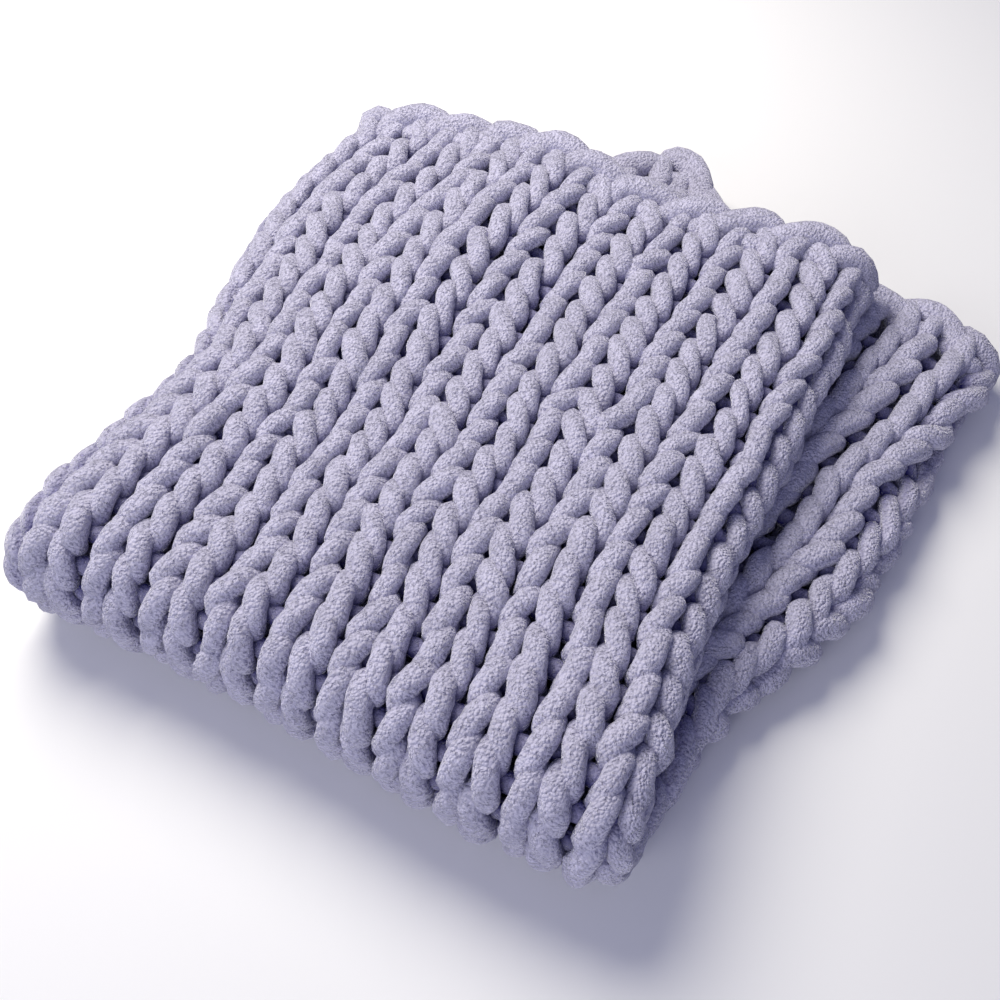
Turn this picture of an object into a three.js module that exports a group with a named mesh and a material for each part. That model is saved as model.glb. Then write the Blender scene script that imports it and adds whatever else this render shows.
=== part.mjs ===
// A chunky hand-knitted chenille throw, folded in quarters and laid flat.
// First it is folded along its length, knit side out, so the fold runs down the right
// side; then it is folded across, so a thick rolled fold lies along the front.
// Millimetres, +Z up, front fold towards -Y. The origin is the middle of the folded
// rectangle, on the surface the throw rests on.
import * as THREE from 'three';

// the knit, laid out flat
const WALES = 21;            // columns of stitches across the throw
const WALE_PITCH = 60.24;
const COURSES = 40;          // rows of stitches along the throw
const COURSE_PITCH = 36.26;
const EDGE_CHAIN = 20;       // the chain of loops that closes each end
const KNIT_THICK = 36;       // one layer as it lies under its own weight
const LAYER_GAP = 2;         // air left between one layer and the next

// the folded stack
const FLAT_WIDTH = WALES * WALE_PITCH;
const FLAT_LENGTH = COURSES * COURSE_PITCH + 2 * EDGE_CHAIN;
const LAYER_STEP = KNIT_THICK + LAYER_GAP;
const SIDE_RADIUS = LAYER_STEP / 2;      // mid-line of the knit round the side fold
const FRONT_RADIUS = LAYER_STEP;         // middle of the doubled knit round the front fold
const STACK_HEIGHT = 4 * KNIT_THICK + 3 * LAYER_GAP;
const MID_HEIGHT = STACK_HEIGHT / 2;
const FLAT_SIDE = (FLAT_WIDTH - Math.PI * SIDE_RADIUS) / 2;
const RUN = (FLAT_LENGTH - Math.PI * FRONT_RADIUS) / 2;
const WIDTH = FLAT_SIDE + SIDE_RADIUS + KNIT_THICK / 2;
const DEPTH = RUN + FRONT_RADIUS + SIDE_RADIUS + KNIT_THICK / 2;
const LEFT_EDGE = -WIDTH / 2;
const FOLD_CENTRE = DEPTH / 2 - RUN;     // where the front fold starts to turn

// How far the sides of the upper and the lower half stand to the right of a plain
// rectangle, how far the stack's left edge drops, and how far its right shoulder does, at
// steps from the front fold (0) to the back edge (1). The lower half slews out to the right
// as it goes back.
const SIDES = [
  { along: 0.0, topLeft: -12, topRight: 2, lowLeft: -12, lowRight: 2, drop: 18, shoulder: 18 },
  { along: 0.1, topLeft: -15, topRight: -2, lowLeft: -14, lowRight: -2, drop: 16, shoulder: 24 },
  { along: 0.2, topLeft: -6, topRight: -9, lowLeft: -12, lowRight: 6, drop: 14, shoulder: 27 },
  { along: 0.3, topLeft: 5, topRight: -13, lowLeft: -2, lowRight: 30, drop: 18, shoulder: 27 },
  { along: 0.4, topLeft: 0, topRight: -12, lowLeft: 12, lowRight: 72, drop: 25, shoulder: 27 },
  { along: 0.5, topLeft: -22, topRight: -8, lowLeft: 24, lowRight: 100, drop: 31, shoulder: 27 },
  { along: 0.6, topLeft: -40, topRight: -3, lowLeft: 34, lowRight: 114, drop: 34, shoulder: 27 },
  { along: 0.7, topLeft: -57, topRight: 1, lowLeft: 44, lowRight: 123, drop: 32, shoulder: 29 },
  { along: 0.8, topLeft: -56, topRight: 3, lowLeft: 52, lowRight: 138, drop: 26, shoulder: 33 },
  { along: 0.9, topLeft: -41, topRight: 3, lowLeft: 60, lowRight: 154, drop: 16, shoulder: 38 },
  { along: 1.0, topLeft: -31, topRight: 2, lowLeft: 66, lowRight: 156, drop: 8, shoulder: 43 },
];
const DROP_REACH = 0.2;      // share of the width that slopes down to the left edge
const SHOULDER_REACH = 0.13; // and to the side fold

// How far the front fold stands forward of a plain rectangle, and the back edges of the
// two halves behind it, at steps from the left side (0) to the right side (1). The lower
// edge is pulled out to a soft point left of the middle.
const ENDS = [
  { across: 0.0, front: 0, topBack: -6, lowBack: 0 },
  { across: 0.1, front: -1, topBack: 9, lowBack: 16 },
  { across: 0.2, front: -3, topBack: 15, lowBack: 52 },
  { across: 0.3, front: -4, topBack: 24, lowBack: 134 },
  { across: 0.4, front: -3, topBack: 20, lowBack: 168 },
  { across: 0.5, front: 1, topBack: 5, lowBack: 70 },
  { across: 0.6, front: 7, topBack: 2, lowBack: 44 },
  { across: 0.7, front: 11, topBack: 0, lowBack: 38 },
  { across: 0.8, front: 12, topBack: 3, lowBack: 37 },
  { across: 0.9, front: 9, topBack: 9, lowBack: 34 },
  { across: 1.0, front: 2, topBack: -2, lowBack: 6 },
];
const END_REACH = 300;       // the length of knit that gives way to an uneven end

// a soft ridge and the trough beside it cross the top from the front left to the back
const RIDGE = { x: -135, y: 0, turn: 0.311, height: 8, width: 62 };
// the low swell of the rest of the top
const SWELL = { height: 2.5, acrossLength: 430, alongLength: 510 };

// the knit thins to a rounded lip at its open edges
const LIP = [
  { inset: 0, share: 0.4 },
  { inset: 6, share: 0.78 },
  { inset: 18, share: 1 },
];

// facets
const FLAT_STEPS = 13;       // across each flat side
const SIDE_FOLD_STEPS = 8;
const RUN_STEPS = 17;        // along each half
const FRONT_FOLD_STEPS = 12;

const clamp = (value, low, high) => Math.min(high, Math.max(low, value));
const ease = (t) => { const c = clamp(t, 0, 1); return c * c * (3 - 2 * c); };

// a smooth curve through one column of a table whose rows are evenly stepped from 0 to 1
function readTable(rows, column, t) {
  const spans = rows.length - 1;
  const place = clamp(t, 0, 1) * spans;
  const row = Math.min(Math.floor(place), spans - 1);
  const f = place - row;
  const at = (k) => rows[clamp(k, 0, spans)][column];
  const [a, b, c, d] = [at(row - 1), at(row), at(row + 1), at(row + 2)];
  return b + 0.5 * f * (c - a + f * (2 * a - 5 * b + 4 * c - d + f * (3 * (b - c) + d - a)));
}

// share of the full thickness at a place in from an open edge
function lipShare(inset) {
  for (let k = 1; k < LIP.length; k += 1) {
    const [outer, inner] = [LIP[k - 1], LIP[k]];
    if (inset < inner.inset) {
      const f = (inset - outer.inset) / (inner.inset - outer.inset);
      return outer.share + f * (inner.share - outer.share);
    }
  }
  return 1;
}

// the folded stack before it slumps: u runs across the flat throw, v along it, and
// out is the distance from the middle of the knit towards its knit side
function foldedPlace(u, v, out) {
  const turn = clamp((u - FLAT_SIDE) / SIDE_RADIUS, 0, Math.PI);
  const past = Math.max(u - FLAT_SIDE - Math.PI * SIDE_RADIUS, 0);
  const x = LEFT_EDGE + Math.min(u, FLAT_SIDE) - past + (SIDE_RADIUS + out) * Math.sin(turn);
  const midRadius = FRONT_RADIUS + SIDE_RADIUS * Math.cos(turn);
  const radius = midRadius + out * Math.cos(turn);
  const travel = (v / FLAT_LENGTH) * (2 * RUN + Math.PI * midRadius);
  const bend = clamp((travel - RUN) / midRadius, 0, Math.PI);
  const straight = Math.max(RUN - travel, 0) + Math.max(travel - RUN - Math.PI * midRadius, 0);
  return {
    x,
    y: FOLD_CENTRE + straight - radius * Math.sin(bend),
    z: MID_HEIGHT + radius * Math.cos(bend),
  };
}

// the slump: the halves slew, the ends wander, and the top rises and dips
function slumped({ x, y, z }) {
  const low = z < MID_HEIGHT;
  const along = (y + DEPTH / 2) / DEPTH;
  const across = (x + WIDTH / 2) / WIDTH;
  const left = readTable(SIDES, low ? 'lowLeft' : 'topLeft', along);
  const right = readTable(SIDES, low ? 'lowRight' : 'topRight', along);
  const backShare = ease((y - DEPTH / 2 + END_REACH) / END_REACH);
  const frontShare = ease((END_REACH - DEPTH / 2 - y) / END_REACH);
  const newX = x + left + (right - left) * across;
  const newY = y + backShare * readTable(ENDS, low ? 'lowBack' : 'topBack', across)
    - frontShare * readTable(ENDS, 'front', across);
  const off = (newX - RIDGE.x) * Math.cos(RIDGE.turn) - (newY - RIDGE.y) * Math.sin(RIDGE.turn);
  const ridge = -RIDGE.height * (off / RIDGE.width) * Math.exp(0.5 - 0.5 * (off / RIDGE.width) ** 2);
  const swell = SWELL.height * Math.sin((2 * Math.PI * newX) / SWELL.acrossLength)
    * Math.cos((2 * Math.PI * newY) / SWELL.alongLength);
  const drop = readTable(SIDES, 'drop', along) * clamp(1 - across / DROP_REACH, 0, 1) ** 2;
  const sink = readTable(SIDES, 'shoulder', along)
    * clamp((across - 1 + SHOULDER_REACH) / SHOULDER_REACH, 0, 1) ** 2;
  return { x: newX, y: newY, z: z * (1 + (ridge + swell - drop - sink) / STACK_HEIGHT) };
}

function spread(from, to, steps) {
  return Array.from({ length: steps }, (_, k) => from + ((to - from) * k) / steps);
}

// places across and along the flat throw where the facets meet
function stations(length, flat, fold, flatSteps, foldSteps) {
  const lip = LIP[LIP.length - 1].inset;
  return [
    ...LIP.slice(0, -1).map((row) => row.inset),
    ...spread(lip, flat, flatSteps),
    ...spread(flat, flat + fold, foldSteps),
    ...spread(flat + fold, length - lip, flatSteps),
    ...LIP.slice().reverse().map((row) => length - row.inset),
  ];
}

function knitSolid() {
  const us = stations(FLAT_WIDTH, FLAT_SIDE, Math.PI * SIDE_RADIUS, FLAT_STEPS, SIDE_FOLD_STEPS);
  const foldShare = (Math.PI * FRONT_RADIUS) / FLAT_LENGTH;
  const vs = stations(FLAT_LENGTH, FLAT_LENGTH * (0.5 - foldShare / 2), FLAT_LENGTH * foldShare,
    RUN_STEPS, FRONT_FOLD_STEPS);
  const corners = [];
  for (const side of [1, -1]) {
    for (const v of vs) {
      for (const u of us) {
        const share = lipShare(Math.min(u, FLAT_WIDTH - u)) * lipShare(Math.min(v, FLAT_LENGTH - v));
        const { x, y, z } = slumped(foldedPlace(u, v, (side * share * KNIT_THICK) / 2));
        corners.push(x, y, z);
      }
    }
  }
  const [nu, nv] = [us.length, vs.length];
  const face = nu * nv;
  const at = (i, j, side) => side * face + j * nu + i;
  const index = [];
  const quad = (a, b, c, d) => index.push(a, b, c, a, c, d);
  for (let j = 0; j < nv - 1; j += 1) {
    for (let i = 0; i < nu - 1; i += 1) {
      quad(at(i, j, 0), at(i, j + 1, 0), at(i + 1, j + 1, 0), at(i + 1, j, 0));
      quad(at(i, j, 1), at(i + 1, j, 1), at(i + 1, j + 1, 1), at(i, j + 1, 1));
    }
  }
  for (let i = 0; i < nu - 1; i += 1) {
    quad(at(i, 0, 0), at(i + 1, 0, 0), at(i + 1, 0, 1), at(i, 0, 1));
    quad(at(i, nv - 1, 0), at(i, nv - 1, 1), at(i + 1, nv - 1, 1), at(i + 1, nv - 1, 0));
  }
  for (let j = 0; j < nv - 1; j += 1) {
    quad(at(0, j, 0), at(0, j, 1), at(0, j + 1, 1), at(0, j + 1, 0));
    quad(at(nu - 1, j, 0), at(nu - 1, j + 1, 0), at(nu - 1, j + 1, 1), at(nu - 1, j, 1));
  }
  const geometry = new THREE.BufferGeometry();
  geometry.setAttribute('position', new THREE.Float32BufferAttribute(corners, 3));
  geometry.setIndex(index);
  geometry.computeVertexNormals();
  return geometry;
}

const chenille = new THREE.MeshStandardMaterial({ color: 0xa5a1c0, roughness: 0.95, metalness: 0 });
const blanket = new THREE.Mesh(knitSolid(), chenille);
blanket.name = 'knit_blanket';

const throwPart = new THREE.Group();
throwPart.name = 'chenille_throw';
throwPart.add(blanket);

export default throwPart;
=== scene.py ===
import math

import bpy
import numpy as np
from mathutils import Matrix, Vector


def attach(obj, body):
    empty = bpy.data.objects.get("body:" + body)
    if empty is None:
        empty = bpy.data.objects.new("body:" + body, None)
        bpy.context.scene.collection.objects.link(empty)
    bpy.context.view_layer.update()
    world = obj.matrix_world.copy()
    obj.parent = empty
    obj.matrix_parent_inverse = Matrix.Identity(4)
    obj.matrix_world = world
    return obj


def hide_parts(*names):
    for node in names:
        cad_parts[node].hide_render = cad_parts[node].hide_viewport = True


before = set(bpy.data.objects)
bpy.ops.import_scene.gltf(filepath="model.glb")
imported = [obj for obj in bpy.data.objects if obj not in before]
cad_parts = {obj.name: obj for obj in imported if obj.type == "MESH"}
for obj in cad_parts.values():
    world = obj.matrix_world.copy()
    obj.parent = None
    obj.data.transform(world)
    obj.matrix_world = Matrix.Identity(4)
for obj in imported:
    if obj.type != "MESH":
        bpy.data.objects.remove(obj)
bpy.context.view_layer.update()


# the throw, folded in quarters: in metres, but for the rows of numbers, which are in mm
cloth = {
    "wales": 21,              # columns of stitches across the throw
    "walePitch": 0.06024,
    "courses": 40,            # rows of stitches along it
    "coursePitch": 0.03626,
    "edgeChain": 0.020,       # what the chain of loops adds at each end
    "thick": 0.036,           # of one layer
    "gap": 0.002,             # from one layer to the next
    # how far each side of the upper and the lower half stands to the right, at even steps from
    # the front fold to the back edge
    "topLeft": (-12, -15, -6, 5, 0, -22, -40, -57, -56, -41, -31),
    "topRight": (2, -2, -9, -13, -12, -8, -3, 1, 3, 3, 2),
    "lowLeft": (-12, -14, -12, -2, 12, 24, 34, 44, 52, 60, 66),
    "lowRight": (2, -2, 6, 30, 72, 100, 114, 123, 138, 154, 156),
    # how far the left edge drops and the right side fold sinks, at the same steps, and over what
    # share of the width
    "drop": (18, 16, 14, 18, 25, 31, 34, 32, 26, 16, 8),
    "dropReach": 0.2,
    "shoulder": (18, 24, 27, 27, 27, 27, 27, 29, 33, 38, 43),
    "shoulderReach": 0.13,
    # how far the ends stand out, at even steps from the left side to the right, and how far in
    # from the ends that is felt
    "front": (0, -1, -3, -4, -3, 1, 7, 11, 12, 9, 2),
    "topBack": (-6, 9, 15, 24, 20, 5, 2, 0, 3, 9, -2),
    "lowBack": (0, 16, 52, 134, 168, 70, 44, 38, 37, 34, 6),
    "endReach": 0.300,
    # a ridge and a dip, either side of a line through x and y at this turn from the y axis
    "ridge": {"x": -0.135, "y": 0.0, "turn": 0.311, "height": 0.008, "width": 0.062},
    "swell": {"height": 0.0025, "across": 0.430, "along": 0.510},     # a slow rise and fall
}
flatWidth = cloth["wales"] * cloth["walePitch"]
flatLength = cloth["courses"] * cloth["coursePitch"] + 2 * cloth["edgeChain"]
sideRadius = (cloth["thick"] + cloth["gap"]) / 2
frontRadius = cloth["thick"] + cloth["gap"]
stackHeight = 4 * cloth["thick"] + 3 * cloth["gap"]
flatSide = (flatWidth - math.pi * sideRadius) / 2       # from a side edge to the side fold
run = (flatLength - math.pi * frontRadius) / 2          # from an end to the front fold
stackWidth = flatSide + sideRadius + cloth["thick"] / 2
stackDepth = run + frontRadius + sideRadius + cloth["thick"] / 2


def ease(t):
    t = np.clip(t, 0, 1)
    return t * t * (3 - 2 * t)


def smoothSpan(a, b, c, d, f):  # a smooth curve from b to c, with a before them and d after
    return b + 0.5 * f * (c - a + f * (2 * a - 5 * b + 4 * c - d + f * (3 * (b - c) + d - a)))


def readRow(values, t):  # a smooth curve through values at even steps from 0 to 1
    values = np.asarray(values, float)
    last = len(values) - 1
    place = np.clip(t, 0, 1) * last
    row = np.minimum(np.floor(place).astype(int), last - 1)
    a, b, c, d = (values[np.clip(row + k, 0, last)] for k in (-1, 0, 1, 2))
    return smoothSpan(a, b, c, d, place - row)


def foldedPlace(u, v, out):  # u across the flat throw, v along it, out towards its knit side
    turn = np.clip((u - flatSide) / sideRadius, 0, math.pi)
    past = np.maximum(u - flatSide - math.pi * sideRadius, 0)
    x = -stackWidth / 2 + np.minimum(u, flatSide) - past + (sideRadius + out) * np.sin(turn)
    midRadius = frontRadius + sideRadius * np.cos(turn)
    radius = midRadius + out * np.cos(turn)
    travel = v / flatLength * (2 * run + math.pi * midRadius)
    bend = np.clip((travel - run) / midRadius, 0, math.pi)
    straight = np.maximum(run - travel, 0) + np.maximum(travel - run - math.pi * midRadius, 0)
    y = stackDepth / 2 - run + straight - radius * np.sin(bend)
    return x, y, stackHeight / 2 + radius * np.cos(bend)


def slumped(x, y, z):  # the halves slew, the ends wander, and the top rises and dips
    low = z < stackHeight / 2
    along = (y + stackDepth / 2) / stackDepth
    across = (x + stackWidth / 2) / stackWidth

    def pick(lowName, topName, t):
        return np.where(low, readRow(cloth[lowName], t), readRow(cloth[topName], t)) / 1000

    left = pick("lowLeft", "topLeft", along)
    right = pick("lowRight", "topRight", along)
    backShare = ease((y - stackDepth / 2 + cloth["endReach"]) / cloth["endReach"])
    frontShare = ease((cloth["endReach"] - stackDepth / 2 - y) / cloth["endReach"])
    newX = x + left + (right - left) * across
    newY = y + backShare * pick("lowBack", "topBack", across)
    newY = newY - frontShare * readRow(cloth["front"], across) / 1000
    ridge = cloth["ridge"]
    off = (newX - ridge["x"]) * math.cos(ridge["turn"]) - (newY - ridge["y"]) * math.sin(ridge["turn"])
    off = off / ridge["width"]
    rise = -ridge["height"] * off * np.exp(0.5 - 0.5 * off ** 2)
    swell = cloth["swell"]
    wave = np.sin(2 * math.pi * newX / swell["across"])
    rise = rise + swell["height"] * wave * np.cos(2 * math.pi * newY / swell["along"])
    drop = readRow(cloth["drop"], along) / 1000 * np.clip(1 - across / cloth["dropReach"], 0, 1) ** 2
    reach = cloth["shoulderReach"]
    sink = readRow(cloth["shoulder"], along) / 1000 * np.clip((across - 1 + reach) / reach, 0, 1) ** 2
    return newX, newY, z * (1 + (rise - drop - sink) / stackHeight)


# how the knit lies on the folded cloth
lay = {
    # how far the columns have wandered from even, in mm: a row for every twelfth of the way from
    # the top back edge round the front fold to the lower one, a value at even steps from the
    # outer side edge to the side fold, the last of which holds for the layers inside
    "wander": (
        (4, 8, 3, 6, 14, 20),
        (4, 8, 2, 5, 13, 18),
        (4, 6, -6, 4, 6, 8),
        (-8, -4, -10, -2, 0, 3),
        (-18, -14, -12, -11, -4, 0),
        (-14, -4, 3, 9, 8, 5),
        (-12, -4, 4, 10, 8, 6),
        (-6, 0, 4, 8, 8, 14),
        (0, 0, 4, 8, 16, 32),
        (0, 0, 4, 8, 20, 38),
        (0, 0, 4, 8, 18, 28),
        (0, 0, 2, 4, 6, 2),
        (0, 0, 0, 0, -4, -14),
    ),
    # how far the rows have slipped away from the top back edge, in mm, at the same steps
    "slip": (0, 7, 13, 15, 13, 7, 0, -29, -57, -70, -46, -21, 0),
    # how far across the columns wander, in widths of one layer: in the upper half, in the lower
    # one, and over what share of the length past the middle it goes from one to the other
    "topHold": 1.15,
    "lowHold": 1.60,
    "holdChange": 0.1,
    "holdFade": 0.15,         # in how much of a layer's width the wander dies away before that
    "foldSink": 0.011,        # how far the loops are pulled in round the side fold of the top
    "foldSwell": 0.004,       # and stand out round that of the lower half
    "sinkEnd": 0.58,          # the share of the length at which the pull has ended
    "sinkFade": 0.08,         # and the share in which it fades
    "tuck": 0.032,            # how much of the outer side edge has curled under
    "curlStart": 0.018,
    "curlBend": 0.006,
    "curlArm": 0.016,
}


def knitPlace(u, v, out):  # where a point of the knit lies, with its side edge curled under
    rows = np.array(lay["wander"], float)
    share = np.clip(v / flatLength, 0, 1) * (len(rows) - 1)
    low = np.minimum(np.floor(share).astype(int), len(rows) - 2)
    across = np.clip((u - lay["tuck"]) / flatSide, 0, 1)
    table = np.stack([readRow(row, across) for row in rows])
    index = np.arange(len(across))
    blend = ease(share - low)
    wander = table[low, index] * (1 - blend) + table[low + 1, index] * blend
    lower = ease((v / flatLength - 0.5) / lay["holdChange"])
    hold = lay["topHold"] + (lay["lowHold"] - lay["topHold"]) * lower
    fade = ease((hold - u / flatSide) / lay["holdFade"])
    u = u - lay["tuck"] + wander / 1000 * fade
    v = v + readRow(lay["slip"], v / flatLength) / 1000
    pull = ease((lay["sinkEnd"] * flatLength - v) / (lay["sinkFade"] * flatLength))
    sink = lay["foldSink"] * pull - lay["foldSwell"]
    out = out - sink * np.sin(np.clip((u - flatSide) / sideRadius, 0, math.pi))
    turn = np.maximum(lay["curlStart"] - u, 0) / lay["curlArm"]
    reach = lay["curlBend"] + out
    out = np.where(turn > 0, reach * np.cos(turn) - lay["curlBend"], out)
    u = np.where(turn > 0, lay["curlStart"] - reach * np.sin(turn), u)
    return np.stack(slumped(*foldedPlace(u, v, out)), axis=-1)


def addMath(tree, operation, *values):  # each value is a number or another node's output
    node = tree.nodes.new("ShaderNodeMath")
    node.operation = operation
    for socket, value in zip(node.inputs, values):
        if isinstance(value, bpy.types.NodeSocket):
            tree.links.new(value, socket)
        else:
            socket.default_value = value
    return node.outputs["Value"]


def addVectorMath(tree, operation, first, second=None):
    node = tree.nodes.new("ShaderNodeVectorMath")
    node.operation = operation
    tree.links.new(first, node.inputs[0])
    if second is not None:
        tree.links.new(second, node.inputs["Scale"] if operation == "SCALE" else node.inputs[1])
    return node.outputs["Value" if operation == "DOT_PRODUCT" else "Vector"]


# the pile of the chenille: tufts with pits between them
pile = {
    "colour": (0.54, 0.525, 0.68, 1),
    "gapShadeColour": (0.032, 0.028, 0.20, 1),    # painted shade in the gaps between the loops
    # painted shade in the pits between the pile's tufts
    "pitShadeColour": (0.28, 0.262, 0.45, 1),
    "tuftPerMetre": 320,
    "tuftHeight": 0.0024,
    "pitPerMetre": 245,
    "pitNoise": (0.56, 0.66),         # where in their noise the pits start and are deepest
    "pitDepth": 0.5,                  # as a share of the tufts' height
    "pitShadeRelief": (0.6, 1.2),        # how far into the relief the painted shade in the pits starts and is full
    "pitShadeHeight": (0.020, 0.006),    # how far out of the cloth that painted pit shade is faintest and fullest
    # how much of the painted pit shade is left on the proudest yarn
    "pitShadeFaint": 0.28,
    "gapShadeHeight": (0.010, -0.006),     # how far out of it the painted shade in the gaps starts and is darkest
    "gapShadeFacing": (-0.6, -0.1),        # how far outwards yarn has to turn for that painted shade to start and be full
    "mottlePerMetre": 38,
    "mottleNoise": (0.35, 0.65),
    "mottleShade": (0.93, 1.06),
    "lie": 0.36,                      # how far the pile is brushed towards the outside of the cloth
    "lieFacing": (0.1, 0.75),         # how far outwards yarn has to turn for that to start and be full
    "endLift": 0.022,                 # how much prouder than it stands the painted gap shade takes the yarn to be at the two ends, where there are no gaps to shade
    "endReach": 0.040,                # at the two ends, where there are no gaps to darken
    "roughness": 0.92,
    "specular": 0.12,
    "sheen": 0.9,
    "sheenRoughness": 0.3,
    "sheenTint": (0.93, 0.92, 1.0, 1),
}


def chenilleMaterial():
    material = bpy.data.materials.new("chenilleYarn")
    material.use_nodes = True
    tree = material.node_tree
    nodes = tree.nodes
    links = tree.links
    nodes.clear()
    output = nodes.new("ShaderNodeOutputMaterial")
    shader = nodes.new("ShaderNodeBsdfPrincipled")
    shader.inputs["Roughness"].default_value = pile["roughness"]
    shader.inputs["Specular IOR Level"].default_value = pile["specular"]
    shader.inputs["Sheen Weight"].default_value = pile["sheen"]
    shader.inputs["Sheen Roughness"].default_value = pile["sheenRoughness"]
    shader.inputs["Sheen Tint"].default_value = pile["sheenTint"]
    links.new(shader.outputs["BSDF"], output.inputs["Surface"])
    place = nodes.new("ShaderNodeTexCoord").outputs["Object"]

    def noise(perMetre, roughness):
        node = nodes.new("ShaderNodeTexNoise")
        node.inputs["Scale"].default_value = perMetre
        node.inputs["Detail"].default_value = 2
        node.inputs["Roughness"].default_value = roughness
        links.new(place, node.inputs["Vector"])
        return node.outputs["Fac"]

    def span(value, ends, results=(0, 1)):
        node = nodes.new("ShaderNodeMapRange")
        for label, number in zip(("From Min", "From Max", "To Min", "To Max"), (*ends, *results)):
            node.inputs[label].default_value = number
        links.new(value, node.inputs["Value"])
        return node.outputs["Result"]

    def blend(share, first, second):
        node = nodes.new("ShaderNodeMix")
        node.data_type = "RGBA"
        links.new(share, node.inputs[0])
        for socket, value in ((node.inputs[6], first), (node.inputs[7], second)):
            if isinstance(value, tuple):
                socket.default_value = value
            else:
                links.new(value, socket)
        return node.outputs[2]

    # the relief is 0 at the middle of a tuft, and grows towards its edge and in the pits
    tufts = nodes.new("ShaderNodeTexVoronoi")
    tufts.inputs["Scale"].default_value = pile["tuftPerMetre"]
    links.new(place, tufts.inputs["Vector"])
    pits = span(noise(pile["pitPerMetre"], 0.6), pile["pitNoise"])
    relief = addMath(tree, "MULTIPLY_ADD", pits, pile["pitDepth"], tufts.outputs["Distance"])

    height = nodes.new("ShaderNodeAttribute")
    height.attribute_name = "height"         # how far out of the knit a point stands, in metres
    outward = nodes.new("ShaderNodeAttribute")
    outward.attribute_name = "outward"       # which way is out of the cloth there
    facing = nodes.new("ShaderNodeVectorTransform")
    facing.vector_type = "VECTOR"
    facing.convert_from = "OBJECT"
    facing.convert_to = "WORLD"
    links.new(outward.outputs["Vector"], facing.inputs["Vector"])
    normal = nodes.new("ShaderNodeNewGeometry").outputs["Normal"]
    facingOut = addVectorMath(tree, "DOT_PRODUCT", normal, facing.outputs["Vector"])

    # painted shade darkens the knit's gaps, not its back
    gaps = span(height.outputs["Fac"], pile["gapShadeHeight"])
    gapShade = addMath(tree, "MULTIPLY", gaps, span(facingOut, pile["gapShadeFacing"]))
    # painted shade in the pile's pits, strongest low on the yarn and faint on its proudest part
    shown = span(height.outputs["Fac"], pile["pitShadeHeight"], (pile["pitShadeFaint"], 1))
    pitShade = addMath(tree, "MULTIPLY", span(relief, pile["pitShadeRelief"]), shown)
    # the gaps take the painted shade colour
    colour = blend(gapShade, pile["colour"], pile["gapShadeColour"])
    colour = blend(pitShade, colour, pile["pitShadeColour"])
    mottle = span(noise(pile["mottlePerMetre"], 0.5), pile["mottleNoise"], pile["mottleShade"])
    links.new(addVectorMath(tree, "SCALE", colour, mottle), shader.inputs["Base Color"])

    brushed = nodes.new("ShaderNodeMix")
    brushed.data_type = "VECTOR"
    links.new(span(facingOut, pile["lieFacing"], (0, pile["lie"])), brushed.inputs[0])
    links.new(normal, brushed.inputs[4])
    links.new(facing.outputs["Vector"], brushed.inputs[5])
    bump = nodes.new("ShaderNodeBump")
    bump.inputs["Strength"].default_value = 1.0
    bump.inputs["Distance"].default_value = pile["tuftHeight"]
    bump.invert = True
    links.new(relief, bump.inputs["Height"])
    links.new(addVectorMath(tree, "NORMALIZE", brushed.outputs[1]), bump.inputs["Normal"])
    links.new(bump.outputs["Normal"], shader.inputs["Normal"])
    return material


yarnMaterial = chenilleMaterial()
print("chenille made")


# the yarn, swept along its path
yarn = {
    "radius": 0.0114,
    "sides": 14,
    "steps": 2,               # rings between one point of a stitch and the next
    "lumpPerMetre": 160,
    "lumpHeight": 0.0013,
    "lumpGain": 4.0,          # the lumps' noise keeps near its middle, so it is stretched about that
    "floor": 0.0004,          # no yarn lies lower than this
    "feeler": 0.001,          # how far out the way out of the cloth is felt for
}


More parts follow.
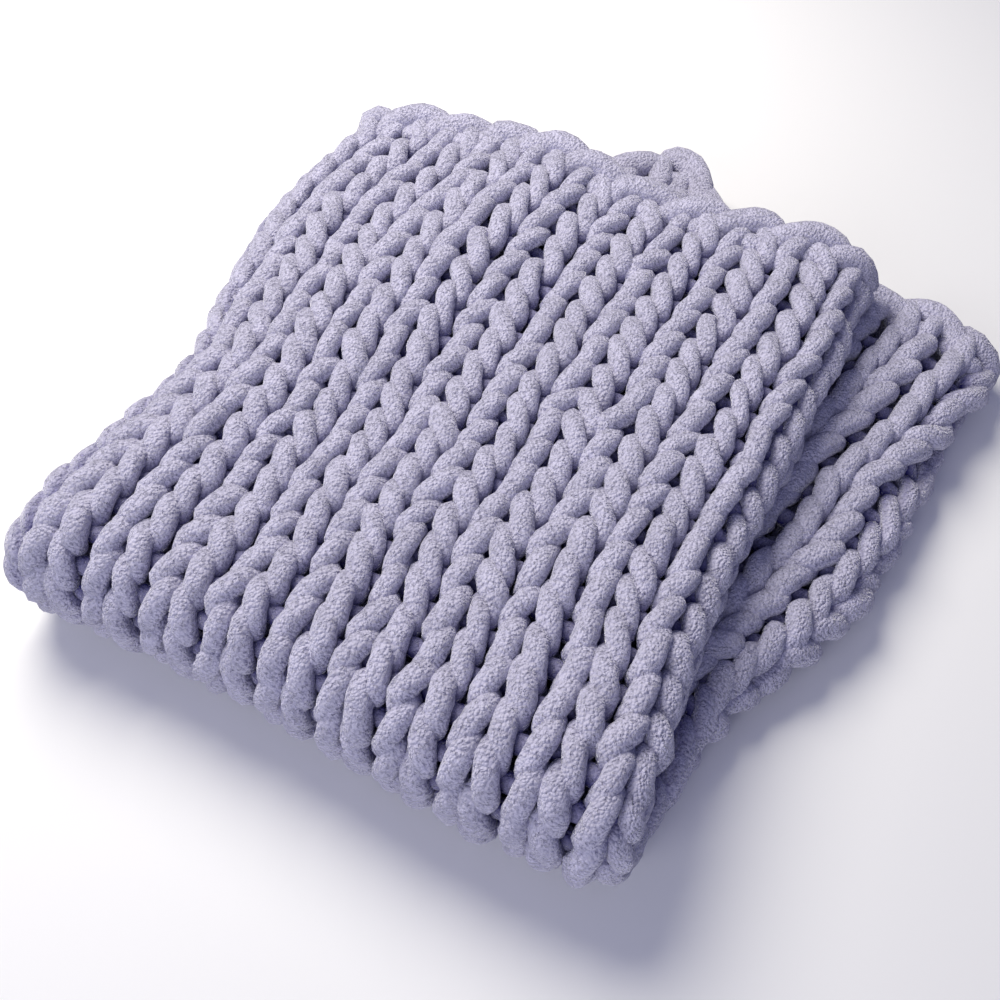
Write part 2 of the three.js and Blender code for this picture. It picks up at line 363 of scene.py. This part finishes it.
def sweepTree():
    tree = bpy.data.node_groups.new("sweptYarn", "GeometryNodeTree")
    tree.interface.new_socket("Geometry", in_out="INPUT", socket_type="NodeSocketGeometry")
    tree.interface.new_socket("Geometry", in_out="OUTPUT", socket_type="NodeSocketGeometry")
    for label, kind in (("Yarn radius", "Float"), ("Sides", "Int"), ("Lumps per metre", "Float"),
                        ("Lump height", "Float"), ("Floor", "Float"), ("Material", "Material")):
        tree.interface.new_socket(label, in_out="INPUT", socket_type="NodeSocket" + kind)
    nodes = tree.nodes
    links = tree.links
    given = nodes.new("NodeGroupInput").outputs
    place = nodes.new("GeometryNodeInputPosition").outputs["Position"]

    def stored(label, kind):
        node = nodes.new("GeometryNodeInputNamedAttribute")
        node.data_type = kind
        node.inputs["Name"].default_value = label
        return node.outputs["Attribute"]

    path = nodes.new("GeometryNodeMeshToCurve")
    links.new(given["Geometry"], path.inputs["Mesh"])
    circle = nodes.new("GeometryNodeCurvePrimitiveCircle")
    links.new(given["Sides"], circle.inputs["Resolution"])
    links.new(given["Yarn radius"], circle.inputs["Radius"])
    sweep = nodes.new("GeometryNodeCurveToMesh")
    sweep.inputs["Fill Caps"].default_value = True
    links.new(path.outputs["Curve"], sweep.inputs["Curve"])
    links.new(circle.outputs["Curve"], sweep.inputs["Profile Curve"])
    links.new(stored("girth", "FLOAT"), sweep.inputs["Scale"])

    lumps = nodes.new("ShaderNodeTexNoise")
    lumps.inputs["Detail"].default_value = 1
    links.new(place, lumps.inputs["Vector"])
    links.new(given["Lumps per metre"], lumps.inputs["Scale"])
    gain = yarn["lumpGain"]
    stretched = addMath(tree, "MULTIPLY_ADD", lumps.outputs["Fac"], gain, -gain / 2)
    swelling = addMath(tree, "MULTIPLY", stretched, given["Lump height"])
    normal = nodes.new("GeometryNodeInputNormal").outputs["Normal"]
    lumpy = nodes.new("GeometryNodeSetPosition")
    links.new(sweep.outputs["Mesh"], lumpy.inputs["Geometry"])
    links.new(addVectorMath(tree, "SCALE", normal, swelling), lumpy.inputs["Offset"])

    # how far each point stands out of the cloth is kept for the material
    offset = addVectorMath(tree, "SUBTRACT", place, stored("centre", "FLOAT_VECTOR"))
    above = addVectorMath(tree, "DOT_PRODUCT", offset, stored("outward", "FLOAT_VECTOR"))
    height = nodes.new("GeometryNodeStoreNamedAttribute")
    height.data_type = "FLOAT"
    height.domain = "POINT"
    height.inputs["Name"].default_value = "height"
    links.new(lumpy.outputs["Geometry"], height.inputs["Geometry"])
    links.new(addMath(tree, "ADD", stored("rise", "FLOAT"), above), height.inputs["Value"])

    # the yarn flattens where it rests on the floor
    parts = nodes.new("ShaderNodeSeparateXYZ")
    links.new(place, parts.inputs["Vector"])
    joined = nodes.new("ShaderNodeCombineXYZ")
    links.new(parts.outputs["X"], joined.inputs["X"])
    links.new(parts.outputs["Y"], joined.inputs["Y"])
    links.new(addMath(tree, "MAXIMUM", parts.outputs["Z"], given["Floor"]), joined.inputs["Z"])
    rested = nodes.new("GeometryNodeSetPosition")
    links.new(height.outputs["Geometry"], rested.inputs["Geometry"])
    links.new(joined.outputs["Vector"], rested.inputs["Position"])

    smooth = nodes.new("GeometryNodeSetShadeSmooth")
    links.new(rested.outputs["Geometry"], smooth.inputs["Geometry"])
    realized = nodes.new("GeometryNodeRealizeInstances")
    links.new(smooth.outputs["Geometry"], realized.inputs["Geometry"])
    finish = nodes.new("GeometryNodeSetMaterial")
    links.new(realized.outputs["Geometry"], finish.inputs["Geometry"])
    links.new(given["Material"], finish.inputs["Material"])
    result = nodes.new("NodeGroupOutput")
    links.new(finish.outputs["Geometry"], result.inputs["Geometry"])
    return tree


yarnTree = sweepTree()
yarnInputs = {
    "Yarn radius": yarn["radius"],
    "Sides": yarn["sides"],
    "Lumps per metre": yarn["lumpPerMetre"],
    "Lump height": yarn["lumpHeight"],
    "Floor": yarn["floor"],
    "Material": yarnMaterial,
}


def sweptYarn(name, centre, girth, rise, outward):  # one length of yarn along a row of centre points
    mesh = bpy.data.meshes.new(name + "Path")
    mesh.from_pydata(centre.tolist(), [(k, k + 1) for k in range(len(centre) - 1)], [])
    for label, values in (("girth", girth), ("rise", rise)):
        attribute = mesh.attributes.new(label, "FLOAT", "POINT")
        attribute.data.foreach_set("value", values.astype(np.float32))
    for label, values in (("centre", centre), ("outward", outward)):
        attribute = mesh.attributes.new(label, "FLOAT_VECTOR", "POINT")
        attribute.data.foreach_set("vector", values.astype(np.float32).ravel())
    holder = bpy.data.objects.new(name + "Path", mesh)
    bpy.context.scene.collection.objects.link(holder)
    modifier = holder.modifiers.new("sweep", "NODES")
    modifier.node_group = yarnTree
    for item in yarnTree.interface.items_tree:
        if item.name in yarnInputs:
            modifier[item.identifier] = yarnInputs[item.name]
    evaluated = holder.evaluated_get(bpy.context.evaluated_depsgraph_get())
    finished = bpy.data.meshes.new_from_object(evaluated)
    finished.name = name
    holder.modifiers.clear()
    bpy.data.objects.remove(holder)
    bpy.data.meshes.remove(mesh)
    piece = bpy.data.objects.new(name, finished)
    bpy.context.scene.collection.objects.link(piece)
    triangles = sum(len(face.vertices) - 2 for face in finished.polygons)
    print("  ", name, len(finished.vertices), "points,", triangles, "triangles")
    return piece


def smoothPath(points, steps):  # a smooth curve through the points, each span cut into equal steps
    padded = np.concatenate([points[:1], points, points[-1:]])
    a, b, c, d = padded[:-3], padded[1:-2], padded[2:-1], padded[3:]
    rows = [smoothSpan(a, b, c, d, k / steps) for k in range(steps)]
    path = np.stack(rows, axis=1).reshape(-1, points.shape[1])
    return np.concatenate([path, points[-1:]])


def yarnOnCloth(name, points):  # a smooth yarn through points given as u, v, out and girth
    u, v, out, girth = smoothPath(np.concatenate(points), yarn["steps"]).T
    centre = knitPlace(u, v, out)
    outward = knitPlace(u, v, out + yarn["feeler"]) - centre
    outward /= np.linalg.norm(outward, axis=1, keepdims=True)
    # at the two ends the rise handed to the material is lifted, so no painted gap shade falls there
    fromEnd = np.minimum(v, flatLength - v)
    lift = pile["endLift"] * np.clip(1 - fromEnd / pile["endReach"], 0, 1)
    return sweptYarn(name, centre, girth, out + lift, outward)


# the stitches
stitch = {
    # one stitch of the yarn, from the loop behind on its left to the one behind on its right:
    # across in shares of the wale, along in shares of the course, rise in mm, girth as a share
    "shape": (
        (-0.50, -0.36, -8.0, 0.86),
        (-0.34, -0.29, -8.5, 0.87),
        (-0.20, -0.12, -4.0, 0.97),
        (-0.165, 0.06, 2.5, 1.01),
        (-0.185, 0.32, 7.0, 1.05),
        (-0.235, 0.66, 8.0, 1.06),
        (-0.290, 1.00, 5.0, 1.03),
        (-0.285, 1.24, -2.0, 0.98),
        (-0.16, 1.40, -8.5, 0.92),
        (0.04, 1.45, -10.5, 0.90),
        (0.25, 1.38, -8.5, 0.92),
        (0.365, 1.22, -2.0, 0.98),
        (0.365, 0.97, 5.0, 1.03),
        (0.272, 0.63, 8.0, 1.06),
        (0.175, 0.30, 7.0, 1.05),
        (0.120, 0.05, 2.5, 1.01),
        (0.165, -0.14, -4.0, 0.97),
        (0.32, -0.30, -8.5, 0.87),
    ),
    # of those points, the first and the one after the last
    "loose": (2, 17),                 # that may stray
    "legs": ((3, 7), (12, 16)),       # of the left leg and of the right one
    "sides": ((2, 8), (10, 17)),      # that are drawn out of shape with each leg
    "stray": (0.018, 0.040, 0.6),     # how unevenly a whole stitch lies: across, along, up and down
    "shift": (0.020, 0.035, 1.0),     # how each leg of it does
    "lean": (0.035, 0.060, 0.6),      # and how that leg's two ends differ
    "girth": 0.060,
    # near this row, above the front fold, the columns draw in and show ladders: by the first
    # share at the outer side edge, and by the second from the column given on
    "openCourse": 17.5,
    "openReach": 4,
    "narrow": (0.13, 0.05),
    "narrowWales": 10,
    "frontLean": (0.12, 0.36),        # their left and right legs lose these shares of their lean
    # by the side fold the stitches are drawn out of shape: first row, row after the last, column,
    # then for the left and right legs their lean, as a share of that elsewhere, their shift, and
    # their girth as a share
    "drawn": (
        (0, 40, 0, (0.3, -0.02, 1.15), (0.7, 0, 1)),
        (0, 21, 10, (1, 0, 1), (0.65, -0.02, 1)),
        (22, 40, 10, (2.0, 0.17, 1.25), (0.6, 0.03, 1)),
        (22, 40, 11, (1, 0.02, 1.15), (0.45, -0.04, 1.15)),
        (22, 40, 12, (1, 0.02, 1.15), (0.45, -0.04, 1.15)),
        (22, 40, 13, (1, 0.02, 1.15), (0.6, -0.02, 1.12)),
    ),
    # the yarn swells where the lower back edge is pulled out to a point: by what share, about
    # which columns of its two layers, and within how many columns and rows
    "full": 0.28,
    "fullWales": (3.8, 17.0),
    "fullReach": 2.2,
    "fullRows": 3,
    "seed": 7,
}


def fuller(wale, row):  # rows are counted here from the lower back edge
    if row > stitch["fullRows"]:
        return 1
    return 1 + sum(stitch["full"] * math.exp(-((wale - point) / stitch["fullReach"]) ** 2)
                   for point in stitch["fullWales"])


def stitchCourse(course, rng):  # the points of one row: u, v, out, girth
    pulled = math.exp(-((course - stitch["openCourse"]) / stitch["openReach"]) ** 2)
    outer, inner = stitch["narrow"]
    rows = []
    for wale in range(cloth["wales"]):
        points = np.array(stitch["shape"])
        points[slice(*stitch["loose"]), :3] += rng.normal(size=3) * stitch["stray"]
        for first, last in stitch["legs"]:
            shift = rng.normal(size=3) * stitch["shift"]
            lean = rng.normal(size=3) * stitch["lean"]
            t = np.linspace(-1, 1, last - first)[:, None]
            points[first:last, :3] += shift + t * lean
            points[first:last, 3] *= 1 + rng.normal() * stitch["girth"]
        leans = [(1 - share * pulled, 0, 1) for share in stitch["frontLean"]]
        for start, stop, column, *drawn in stitch["drawn"]:
            if column == wale and start <= course < stop:
                leans = drawn
        for (first, last), (lean, shift, plump) in zip(stitch["sides"], leans):
            middle = points[first:last, 0].mean()
            points[first:last, 0] = middle + (points[first:last, 0] - middle) * lean + shift
            points[first:last, 3] *= plump
        share = outer + (inner - outer) * min(wale / stitch["narrowWales"], 1)
        points[:, 0] *= 1 - share * pulled
        points[:, 3] *= fuller(wale, cloth["courses"] - course)
        u = (wale + 0.5 + points[:, 0]) * cloth["walePitch"]
        v = cloth["edgeChain"] + (course + points[:, 1]) * cloth["coursePitch"]
        rows.append(np.stack([u, v, points[:, 2] / 1000, points[:, 3]], axis=1))
    return np.concatenate(rows)


rng = np.random.default_rng(stitch["seed"])
courses = [stitchCourse(course, rng) for course in range(cloth["courses"])]
courses[1::2] = [course[::-1] for course in courses[1::2]]     # the yarn turns back at each side
bandNames = ("knitUpperBack", "knitUpperMiddle", "knitFrontRoll", "knitLowerMiddle", "knitLowerBack")
bandCourses = cloth["courses"] // len(bandNames)
pieces = []
for index, bandName in enumerate(bandNames):
    first = index * bandCourses
    before = [courses[first - 1][-1:]] if first else []        # each band goes on from the last one
    pieces.append(yarnOnCloth(bandName, before + courses[first:first + bandCourses]))
print("knit made")


# the chains of loops that close the two ends: the cast-on one along the top back edge, and the
# cast-off one along the lower
chain = {
    # one link: towards the cloth in shares of the chain's width, along in shares of the wale,
    # rise in mm, girth as a share
    "shape": (
        (0.24, -0.06, -1.0, 1.12),
        (0.06, 0.08, 5.0, 1.34),
        (-0.14, 0.33, 8.5, 1.50),
        (-0.26, 0.64, 8.0, 1.55),
        (-0.29, 0.93, 3.0, 1.46),
        (-0.22, 1.12, -5.0, 1.15),
        (0.02, 1.22, -10.0, 0.95),
        (0.24, 1.12, -6.0, 1.05),
        (0.38, 0.90, 0.0, 1.24),
        (0.34, 0.64, 1.0, 1.26),
        (0.18, 0.46, -5.0, 1.06),
        (0.08, 0.68, -11.0, 0.90),
    ),
    "wide": 0.042,
    "shortBy": 0.3,           # how many columns it is shorter than the cloth is wide
    "inset": (0.023, 0.026),  # from the end to the middle of the cast-on chain and the cast-off one
    "plump": (1, 0.86),       # how thick each is against the shape
    "firstLink": 0.80,        # how thick the link at the outer side edge is against the others
    "firstInset": 0.005,      # and how much further in it lies
    "rise": 0.001,
    "jitter": (0.03, 0.05, 0.8),
    "seed": 11,
}


def chainPoints(edge, rng):  # the chain along one end, 0 for the cast-on and 1 for the cast-off
    rows = []
    for link in range(cloth["wales"]):
        points = np.array(chain["shape"])
        points[:, :3] += rng.normal(size=(len(points), 3)) * chain["jitter"]
        points[:, 3] *= chain["plump"][edge] * (1 if link else chain["firstLink"])
        u = (link + points[:, 1]) * cloth["walePitch"] * (cloth["wales"] - chain["shortBy"]) / cloth["wales"]
        v = chain["inset"][edge] + points[:, 0] * chain["wide"] + (0 if link else chain["firstInset"])
        if edge == 1:
            v = flatLength - v
            points[:, 3] *= fuller(link, 0)
        rows.append(np.stack([u, v, chain["rise"] + points[:, 2] / 1000, points[:, 3]], axis=1))
    return rows


chainRng = np.random.default_rng(chain["seed"])
for edge, edgeName in enumerate(("castOnChain", "castOffChain")):
    pieces.append(yarnOnCloth(edgeName, chainPoints(edge, chainRng)))
print("end chains made")

for piece in pieces:
    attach(piece, "root")
    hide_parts("knit_blanket")


# floor, lights and camera
studio = {
    "floorColour": (0.90, 0.90, 0.91, 1),
    "floorRoughness": 0.8,
    "floorHalf": 6.0,
    "skyColour": (0.55, 0.58, 1.0, 1),
    "skyStrength": 0.25,
}
lights = {
    "key": {"place": (-1.10, 0.66, 1.75), "size": 1.5, "power": 59, "colour": (1.0, 0.96, 0.84)},
    "fill": {"place": (-0.2, -2.6, 1.3), "size": 2.0, "power": 30, "colour": (0.97, 0.97, 1.0)},
}
camera = {
    "place": (0.3268, -0.6315, 0.9508),
    "azimuth": 26.32,         # in degrees, to the left of the y axis
    "pitch": 54.68,           # down from level
    "lens": 37.8,
    "sensor": 36,
}


def makeFloor():
    mesh = bpy.data.meshes.new("floor")
    half = studio["floorHalf"]
    corners = [(-half, -half, 0), (half, -half, 0), (half, half, 0), (-half, half, 0)]
    mesh.from_pydata(corners, [], [(0, 1, 2, 3)])
    floor = bpy.data.objects.new("floor", mesh)
    bpy.context.scene.collection.objects.link(floor)
    material = bpy.data.materials.new("paleFloor")
    material.use_nodes = True
    shader = material.node_tree.nodes["Principled BSDF"]
    shader.inputs["Base Color"].default_value = studio["floorColour"]
    shader.inputs["Roughness"].default_value = studio["floorRoughness"]
    mesh.materials.append(material)


def makeLight(name):
    data = bpy.data.lights.new(name, "AREA")
    data.shape = "DISK"
    data.size = lights[name]["size"]
    data.energy = lights[name]["power"]
    data.color = lights[name]["colour"]
    light = bpy.data.objects.new(name, data)
    place = Vector(lights[name]["place"])
    light.location = place
    light.rotation_euler = (-place).to_track_quat("-Z", "Y").to_euler()     # it faces the origin
    bpy.context.scene.collection.objects.link(light)


def makeSky():
    world = bpy.data.worlds.new("studio")
    bpy.context.scene.world = world
    world.use_nodes = True
    background = world.node_tree.nodes["Background"]
    background.inputs["Color"].default_value = studio["skyColour"]
    background.inputs["Strength"].default_value = studio["skyStrength"]


def makeCamera():
    data = bpy.data.cameras.new("camera")
    data.lens = camera["lens"]
    data.sensor_width = camera["sensor"]
    view = bpy.data.objects.new("camera", data)
    turn = Matrix.Rotation(math.radians(camera["azimuth"]), 4, "Z")
    tip = Matrix.Rotation(math.radians(90 - camera["pitch"]), 4, "X")
    view.matrix_world = Matrix.Translation(camera["place"]) @ turn @ tip
    bpy.context.scene.collection.objects.link(view)
    bpy.context.scene.camera = view


makeFloor()
for lightName in lights:
    makeLight(lightName)
makeSky()
bpy.context.scene.view_settings.view_transform = "Standard"
makeCamera()
print("studio made")
